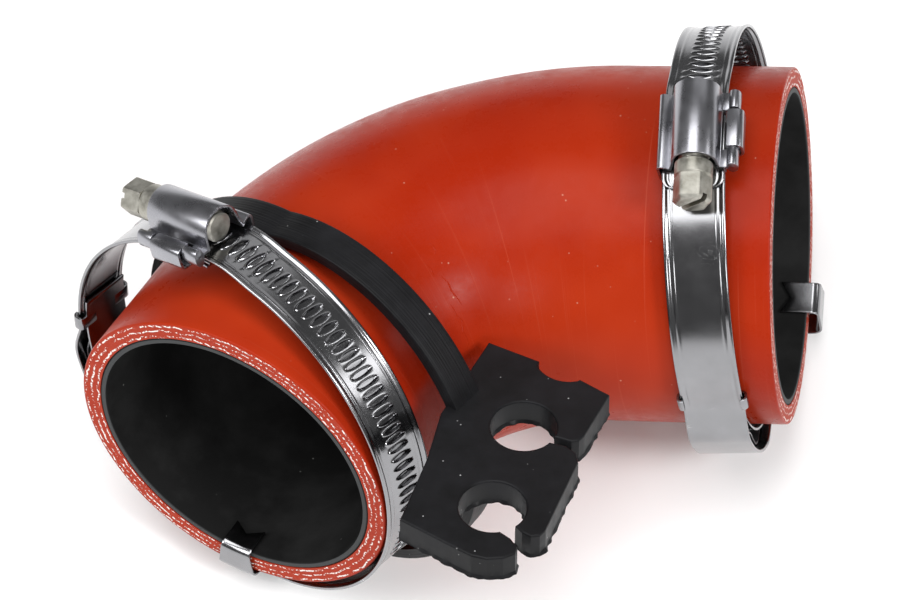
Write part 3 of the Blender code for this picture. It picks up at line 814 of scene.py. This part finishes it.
def hump_rise(angle, start):
    into = angle - start
    return HUMP_RISE * ease(into / HUMP_RAMP) * ease((HUMP_ANGLE - into) / HUMP_RAMP)


def tooth_point(phase, across):
    """How far along the band a point of a pressed tooth lies, its height and how much painted shade its
    groove gets.

    Each tooth is a slanted leaf with pointed ends: a groove between two thin raised rims.
    """
    share = abs(across) / TOOTH_HALF
    beyond = ease((share - 1.0) / 0.6)
    leaf = max(1.0 - share * share, 0.0) ** 0.9
    width = TOOTH_RIM_PHASE * (max(leaf, TOOTH_TIP) * (1.0 - beyond) + beyond)
    if abs(phase) <= TOOTH_RIM_PHASE:
        moved = phase * width / TOOTH_RIM_PHASE
    else:
        past = (abs(phase) - TOOTH_RIM_PHASE) / (0.5 - TOOTH_RIM_PHASE)
        moved = math.copysign(width + past * (0.5 - width), phase)
    along = (moved - phase) * TOOTH_PITCH + TOOTH_SLANT * across * (1.0 - beyond)
    inside = ease((TOOTH_RIM_PHASE - abs(phase)) / 0.12) * ease((1.0 - share) * 5.0)
    rim = bell(abs(phase) - TOOTH_RIM_PHASE, 0.032) * ease((1.0 - share) * 14.0)
    # The last value is painted shade, darkest inside the groove.
    return along, TOOTH_RIM * rim - TOOTH_GROOVE * inside, inside


def edge_relief(across):
    lip = LIP_RISE * ease((abs(across) - LIP_START) / (LIP_END - LIP_START))
    return lip + LINE_RISE * bell(abs(across) - LINE_PLACE, LINE_WIDTH)


def band_stations(start, end):
    """Angles along the band, each with its place in a tooth, or None where the band is plain."""
    pitch = TOOTH_PITCH / BAND_RADIUS
    teeth = int(THREAD_ANGLE / pitch)
    last = end - LAST_TOOTH / BAND_RADIUS
    first = last - teeth * pitch
    plain = round((first - start) * BAND_RADIUS / BAND_STEP)
    stations = [(start + (first - start) * step / plain, None) for step in range(plain)]
    for tooth in range(teeth):
        stations += [(first + (tooth + 0.5 + phase) * pitch, phase) for phase in TOOTH_PHASES]
    return stations + [(last + (end - last) * step / 8, None) for step in range(1, 9)]


def clamp_band(side, clamp, place):
    half_housing = HOUSING_LENGTH / 2 / BAND_RADIUS
    start = clamp["housing"] - half_housing
    end = clamp["housing"] + half_housing + TAIL_OVERHANG / BAND_RADIUS + TAU
    ramp = start + TAU - RAMP_ANGLE - LEVEL_ANGLE
    half = BAND_WIDTH / 2
    flat = half - BAND_EDGE
    leaf = [TOOTH_HALF * step / 10 for step in range(-10, 11)]
    outside = [TOOTH_HALF + (flat - TOOTH_HALF) * step / 13 for step in range(1, 14)]
    outside.append(half - 0.3 * BAND_EDGE)
    across_points = [-x for x in reversed(outside)] + leaf + outside
    shape = bmesh.new()
    shade = shape.verts.layers.float.new("shade")
    rings = []
    painted_shade_rows = []
    for angle, phase in band_stations(start, end):
        rise = hump_rise(angle, clamp["hump"])
        level = rise + ease((angle - ramp) / RAMP_ANGLE) * TAIL_RISE
        plain = 1.0 - ease(rise / HUMP_START)
        narrow = max(0.0, 1.0 - (end - angle) * BAND_RADIUS / TAIL_ROUND)
        narrow = 1.0 - TAIL_ROUND / half * (1.0 - math.sqrt(1.0 - narrow * narrow))
        ring = []
        dark = []
        for outer in (0, 1):
            for across in (across_points[::-1] if outer else across_points):
                # The third value from a tooth is painted shade for the inside of its groove.
                along, relief, groove = (0.0, 0.0, 0.0) if phase is None else tooth_point(phase, across)
                radius = BAND_RADIUS + level + edge_relief(across) * plain + relief
                radius += BAND_THICKNESS * outer
                if abs(across) > flat:
                    radius += BAND_EDGE * (1 - 2 * outer)
                ring.append(ring_point(angle + along / BAND_RADIUS, radius, across * narrow))
                dark.append(groove)
        rings.append(ring)
        painted_shade_rows.append(dark)
    count = len(rings[0])

    def uv(ring, corner):
        point = rings[ring][corner % count]
        return start * BAND_RADIUS + ring * 0.3 * MM, point.x

    loft(rings, uv=uv, into=shape)
    # The painted shade of the tooth grooves goes into the "shade" attribute.
    shape.verts.ensure_lookup_table()
    for vertex, dark in zip(shape.verts, (value for row in painted_shade_rows for value in row)):
        vertex[shade] = dark
    mesh_object(side + "_band", shape, (BAND_STEEL,), place, "hose", (side + "_clamp_band",), 60.0)


def wave_spring(side, clamp, place):
    steps = 36 * SPRING_WAVES
    start = clamp["hump"] + SPRING_INSET
    span = HUMP_ANGLE - 2.0 * SPRING_INSET
    half = SPRING_THICKNESS / 2
    path = []
    for step in range(steps + 1):
        share = step / steps
        angle = start + span * share
        room = hump_rise(angle, clamp["hump"]) - GAP - SPRING_THICKNESS
        wave = 0.5 - 0.5 * math.cos(TAU * SPRING_WAVES * share)
        radius = BAND_RADIUS + half + max(room, 0.0) * wave
        path.append((radius * math.sin(angle), radius * math.cos(angle)))
    outline = ribbon(path, SPRING_THICKNESS)
    rings = []
    for across in (-SPRING_WIDTH / 2, SPRING_WIDTH / 2):
        rings.append([Vector((across, point[0], point[1])) for point in outline])
    shape = loft(rings)
    mesh_object(side + "_spring", shape, (SPRING_STEEL,), place, "hose", (side + "_wave_spring",))


def bridge_strip(side, clamp, place):
    top = BAND_RADIUS - GAP
    bottom = top - BRIDGE_THICKNESS
    half = LIP_END - 0.15 * MM
    start = clamp["hump"] - BRIDGE_LAP
    span = HUMP_ANGLE + 2.0 * BRIDGE_LAP
    rings = []
    for step in range(61):
        angle = start + span * step / 60
        corners = ((-half, bottom), (0.0, bottom), (half, bottom), (half, top), (0.0, top), (-half, top))
        rings.append([ring_point(angle, radius, across) for across, radius in corners])

    def uv(ring, corner):
        return (start + span * ring / 60) * BAND_RADIUS, rings[0][corner % 6].x

    shape = loft(rings, uv=uv)
    outer = BAND_WIDTH / 2 + GAP + BRIDGE_THICKNESS / 2
    over = BAND_RADIUS + BAND_THICKNESS + LIP_RISE + GAP + BRIDGE_THICKNESS / 2
    middle = (top + bottom) / 2
    corner = 0.7 * MM
    for mirror in (-1.0, 1.0):
        path = [(outer - LUG_HOLD, over)]
        path += arc((outer - corner, over - corner), corner, math.pi / 2, 0.0, 4)
        path += arc((outer - corner, middle + corner), corner, 0.0, -math.pi / 2, 4)
        path += [(half / 2, middle)]
        outline = [(x * mirror, z) for x, z in ribbon(path, BRIDGE_THICKNESS)]
        lugs = []
        for share in (-0.5, 0.0, 0.5):
            angle = clamp["hump"] + share * LUG_LENGTH / BAND_RADIUS
            lugs.append([ring_point(angle, radius, across) for across, radius in outline])
        loft(lugs, into=shape)
    bevel_edges(shape, 0.08 * MM)
    mesh_object(side + "_bridge", shape, (CLIP_STEEL,), place, "hose", (side + "_bridge_strip",))


def housing_frame(clamp):
    """The place of the housing on its ring: X to the bend, Y along the screw to its head, Z out."""
    angle = clamp["housing"]
    point = ring_point(angle, BAND_RADIUS, 0.0)
    along = Vector((0.0, math.cos(angle), -math.sin(angle)))
    axes = Matrix((Vector((1.0, 0.0, 0.0)), along, point.normalized())).transposed().to_4x4()
    return Matrix.Translation(point) @ axes


SCREW_HEIGHT = TAIL_RISE + BAND_THICKNESS + GAP + SCREW_RADIUS
FLANGE_HEIGHT = TAIL_RISE + BAND_THICKNESS + LIP_RISE + GAP + HOUSING_WALL / 2
ARCH_RADIUS = SCREW_RADIUS + SCREW_ROOM + HOUSING_WALL / 2
TAB_EDGE = SCREW_OFFSET + ARCH_RADIUS + TAB_REACH
ROLL_PLACE = TAB_EDGE - ROLL_INSET
SCREW_END = HOUSING_LENGTH / 2 + GAP + COLLAR_LENGTH + HEX_LENGTH
SADDLE_DROP = BAND_RADIUS * (1.0 - math.cos(SADDLE_LENGTH / 2 / BAND_RADIUS))


def prism(outline, ends, into=None):
    """An outline across the housing, drawn out along the screw through the given places."""
    rings = [[Vector((x, y, z)) for x, z in outline] for y in ends]
    reach = lengths_along(outline)
    return loft(rings, uv=lambda ring, corner: (ends[ring], reach[corner]), into=into)


def screw_housing(side, place):
    """The pressed arch: a fold towards the bend, and two rolls with a window between them."""
    under = -(SADDLE_THICKNESS + 2.0 * GAP + SADDLE_DROP + FOLD_WALL / 2)
    edge = BAND_WIDTH / 2 + FOLD_ROOM + FOLD_WALL / 2
    corner = FOLD_CORNER
    foot = ARCH_RADIUS - SCREW_OFFSET
    swell = FLANGE_HEIGHT + FLANGE_SWELL
    path = [(edge - FOLD_UNDER, under)]
    path += arc((edge - corner, under + corner), corner, -math.pi / 2, 0.0, 8)
    path += arc((edge - corner, swell - corner), corner, 0.0, math.pi / 2, 8)
    valley = foot + 0.35 * (edge - corner - foot)
    path += [((edge - corner + valley) / 2, (swell + FLANGE_HEIGHT - FLANGE_DIP) / 2)]
    path += [(valley, FLANGE_HEIGHT - FLANGE_DIP)]
    path += arc((-SCREW_OFFSET, SCREW_HEIGHT), ARCH_RADIUS, 0.0, math.pi, 40)
    arch_foot = -SCREW_OFFSET - ARCH_RADIUS
    path += [(arch_foot - 0.1 * MM, FLANGE_HEIGHT), (-WINDOW_START, FLANGE_HEIGHT)]
    length = HOUSING_LENGTH / 2
    shape = prism(ribbon(path, FOLD_WALL), [-length, length])
    window = [(-WINDOW_START, FLANGE_HEIGHT), (-TAB_EDGE, FLANGE_HEIGHT)]
    roll = arc((0.0, 0.0), 1.0, 0.0, TAU, 28)[:-1]
    roll = [(x * ROLL_WIDTH - ROLL_PLACE, z * ROLL_HEIGHT + FLANGE_HEIGHT - ROLL_DROP) for x, z in roll]
    for end in (-1.0, 1.0):
        near, far = sorted((end * (TAB_LENGTH / 2 + GAP), end * length))
        prism(roll, [near, far], into=shape)
        prism(ribbon(window, FOLD_WALL), [near, far], into=shape)
    bevel_edges(shape, PRESSED_EDGE, FOLD_ANGLE)
    mesh_object(side + "_housing", shape, (HOUSING_STEEL,), place, "hose", (side + "_screw_housing",))


def base_plate(side, clamp, ring_place, seat):
    middle = -GAP - SADDLE_THICKNESS / 2
    edge = TAB_EDGE + TAB_BULGE
    over = FLANGE_HEIGHT + HOUSING_WALL / 2 + GAP + SADDLE_THICKNESS / 2
    corner = TAB_CORNER
    path = [(-edge + TAB_BULGE + TAB_REACH / 2, over)]
    path += arc((corner - edge, over - corner), corner, math.pi / 2, math.pi, 10)
    path += arc((corner - edge, middle + corner), corner, math.pi, 1.5 * math.pi, 10)
    path += [(0.0, middle)]
    tab = TAB_LENGTH / 2
    shape = prism(ribbon(path, SADDLE_THICKNESS), [-tab, tab])
    shape.transform(seat)
    half = BAND_WIDTH / 2
    top = BAND_RADIUS - GAP
    bottom = top - SADDLE_THICKNESS
    reach = SADDLE_LENGTH / 2 / BAND_RADIUS
    rings = []
    for step in range(17):
        angle = clamp["housing"] + reach * (step / 8.0 - 1.0)
        corners = ((-half, bottom), (half, bottom), (half, top), (-half, top))
        rings.append([ring_point(angle, radius, across) for across, radius in corners])
    loft(rings, into=shape)
    bevel_edges(shape, CUT_EDGE, FOLD_ANGLE)
    mesh_object(side + "_saddle", shape, (HOUSING_STEEL,), ring_place, "hose", (side + "_base_plate",))


def screw_rows():
    """Places along the screw from tip to head, with the radius and the kind of section at each."""
    tip = -HOUSING_LENGTH / 2 + TIP_DEPTH
    collar = HOUSING_LENGTH / 2 + GAP
    hexagon = collar + COLLAR_LENGTH
    flat = HEX_ACROSS_FLATS / 2
    rows = [(tip, SCREW_RADIUS - THREAD_DEPTH - 0.3 * MM, "round")]
    for step in range(THREAD_STEPS + 1):
        y = tip + 0.3 * MM + (collar - tip - 0.3 * MM) * step / THREAD_STEPS
        rows.append((y, SCREW_RADIUS, "thread"))
    rows += [(collar, COLLAR_RADIUS - 0.25 * MM, "round"), (collar + 0.25 * MM, COLLAR_RADIUS, "round")]
    rows += [(hexagon - 0.35 * MM, COLLAR_RADIUS, "round"), (hexagon, COLLAR_RADIUS - 0.3 * MM, "round")]
    rows += [(hexagon, flat, "hexagon"), (hexagon + 0.2 * MM, flat, "hexagon")]
    rows += [(SCREW_END - HEX_CHAMFER, flat, "hexagon")]
    rows += [(SCREW_END - 0.15 * MM, flat - 0.35 * MM, "hexagon")]
    return rows + [(SCREW_END, flat - HEX_CHAMFER, "hexagon")]


def screw_reach(y, radius, kind, angle):
    """How far from its axis the screw reaches at one angle."""
    if kind == "hexagon":
        return min(radius / math.cos((angle % (math.pi / 3.0)) - math.pi / 6.0), radius * HEX_CORNER)
    if kind == "thread":
        turn = (y / TOOTH_PITCH + angle / TAU) % 1.0
        return radius - THREAD_DEPTH * ease(abs(turn - 0.5) * 4.0 - 0.6)
    return radius


def slot_cutter():
    outline = arc((0.0, SCREW_END - SLOT_DEPTH + SLOT_SWEEP), SLOT_SWEEP, math.pi, TAU, 18)
    turn = Matrix.Rotation(SLOT_ANGLE, 3, "Y")
    rings = []
    for z in (-SLOT_WIDTH / 2, SLOT_WIDTH / 2):
        rings.append([turn @ Vector((x, y, z)) for x, y in outline])
    return loft(rings)


def worm_screw(side, place):
    rings = []
    for y, radius, kind in screw_rows():
        ring = []
        for index in range(SCREW_SIDES):
            angle = TAU * index / SCREW_SIDES
            reach = screw_reach(y, radius, kind, angle)
            ring.append(Vector((reach * math.cos(angle), y, reach * math.sin(angle))))
        rings.append(ring)
    tools = []
    for name, shape in (("screw_blank", loft(rings)), ("slot_blank", slot_cutter())):
        bmesh.ops.recalc_face_normals(shape, faces=shape.faces)
        tools.append(new_object(name, shape))
    blank, cutter = tools
    slotted = blank.modifiers.new("slot", "BOOLEAN")
    slotted.operation = "DIFFERENCE"
    slotted.solver = "EXACT"
    slotted.object = cutter
    bpy.context.view_layer.update()
    cut = blank.evaluated_get(bpy.context.evaluated_depsgraph_get()).to_mesh()
    shape = bmesh.new()
    shape.from_mesh(cut)
    for item in tools:
        bpy.data.objects.remove(item, do_unlink=True)
    mesh_object(side + "_screw", shape, (SCREW_STEEL,), place, side + "_screw", (side + "_worm_screw",),
                30.0)


def seen_from_end(clamp, point):
    centre, along, outward = hose_frame(clamp_face(clamp))
    offset = point - centre
    across = offset.dot(outward)
    depth = offset.dot(along) * clamp["faces"]
    return depth, math.atan2(across, offset.z), math.hypot(across, offset.z)


def end_clip(side, clamp):
    """A steel strip folded over the rim of the hose, with one leg inside and one under the band."""
    centre, along, outward = hose_frame(clamp_face(clamp))
    into = along * clamp["faces"]
    place = clamp_frame(clamp)
    under_band = BAND_RADIUS - GAP - CLIP_THICKNESS / 2
    inner = hose_radius(clamp_face(clamp)) - WALL - GAP - CLIP_THICKNESS / 2
    rim = -clamp["clip_stands_off"]
    outer = hose_radius(clamp_face(clamp)) + GAP + CLIP_THICKNESS / 2 - CLIP_FLARE * rim
    rings = []
    for step in range(-8, 9):
        share = step / 8.0
        ring_angle = clamp["clip"] + share * CLIP_WIDTH / 2 / under_band
        far = seen_from_end(clamp, place @ ring_point(ring_angle, under_band, BAND_WIDTH / 2))
        near = seen_from_end(clamp, place @ ring_point(ring_angle, under_band, -BAND_WIDTH / 2))
        inner_leg = CLIP_INNER_LEG - CLIP_NOTCH * (1.0 - abs(share))
        path = [(far[0], far[2]), (near[0], near[2])]
        bend = CLIP_OUTER_BEND
        path += arc((rim + bend, outer - bend), bend, math.pi / 2, math.pi, 12)
        bend = CLIP_INNER_BEND
        path += arc((rim + bend, inner + bend), bend, math.pi, 1.5 * math.pi, 12)
        path += [(inner_leg * 0.6, inner), (inner_leg, inner)]
        outline = ribbon(path, CLIP_THICKNESS)
        radial = UP * math.cos(near[1]) + outward * math.sin(near[1])
        rings.append([centre + into * depth + radial * radius for depth, radius in outline])
    shape = loft(rings)
    bevel_edges(shape, CUT_EDGE, FOLD_ANGLE)
    mesh_object(side + "_clip", shape, (CLIP_STEEL,), Matrix(), "hose", (side + "_end_clip",))


def build_clamp(side, clamp):
    ring = clamp_frame(clamp)
    seat = housing_frame(clamp)
    axle = ring @ seat @ Matrix.Translation((-SCREW_OFFSET, 0.0, SCREW_HEIGHT))
    clamp_band(side, clamp, ring)
    wave_spring(side, clamp, ring)
    bridge_strip(side, clamp, ring)
    screw_housing(side, ring @ seat)
    base_plate(side, clamp, ring, seat)
    worm_screw(side, axle)
    end_clip(side, clamp)


# Studio

def floor():
    shape = bmesh.new()
    bmesh.ops.create_grid(shape, x_segments=1, y_segments=1, size=3.0)
    made = new_object("floor", shape)
    made.data.materials.append(new_material("pale_floor", (0.93, 0.93, 0.93), 0.7))


def area_light(name, place, target, size, power):
    light = bpy.data.lights.new(name, "AREA")
    light.shape = "RECTANGLE"
    light.size, light.size_y = size
    light.energy = power
    made = bpy.data.objects.new(name, light)
    aim = (Vector(target) - Vector(place)).to_track_quat("-Z", "Y")
    made.matrix_world = Matrix.Translation(place) @ aim.to_matrix().to_4x4()
    bpy.context.scene.collection.objects.link(made)


def studio():
    world = bpy.data.worlds.new("studio")
    world.use_nodes = True
    background = world.node_tree.nodes["Background"]
    background.inputs["Color"].default_value = (1.0, 1.0, 1.0, 1.0)
    background.inputs["Strength"].default_value = 0.15
    bpy.context.scene.world = world
    bpy.context.scene.view_settings.view_transform = "Standard"
    middle = (0.0, 0.0, 0.03)
    area_light("overhead", (-0.2, 0.0, 1.2), middle, (0.9, 0.8), 11.0)
    area_light("key", (0.73, -0.48, 1.03), (0.0, 0.0, 0.064), (0.32, 0.32), 9.0)
    area_light("left_box", (-0.95, -0.25, 0.8), middle, (0.5, 0.5), 7.0)
    area_light("front_box", (0.32, -1.1, 0.95), middle, (0.5, 0.4), 5.0)
    area_light("back_box", (0.36, 1.34, 0.97), middle, (1.4, 0.7), 2.2)
    area_light("right_box", (1.13, 0.0, 0.65), middle, (0.38, 0.3), 1.5)


def camera():
    lens = bpy.data.cameras.new("camera")
    lens.lens = CAMERA_LENS
    lens.sensor_width = 36.0
    lens.clip_start = 0.01
    made = bpy.data.objects.new("camera", lens)
    toward = CAMERA_RIGHT.cross(CAMERA_UP).normalized()
    upward = toward.cross(CAMERA_RIGHT).normalized()
    axes = Matrix((CAMERA_RIGHT.normalized(), upward, toward)).transposed().to_4x4()
    made.matrix_world = ROOT @ Matrix.Translation(CAMERA_PLACE) @ axes
    bpy.context.scene.collection.objects.link(made)
    bpy.context.scene.camera = made


hose_wall()
inner_liner()
flash_marks()
bracket_strap()
bracket_plate()
for clamp_side, clamp_values in CLAMPS.items():
    build_clamp(clamp_side, clamp_values)
floor()
studio()
camera()
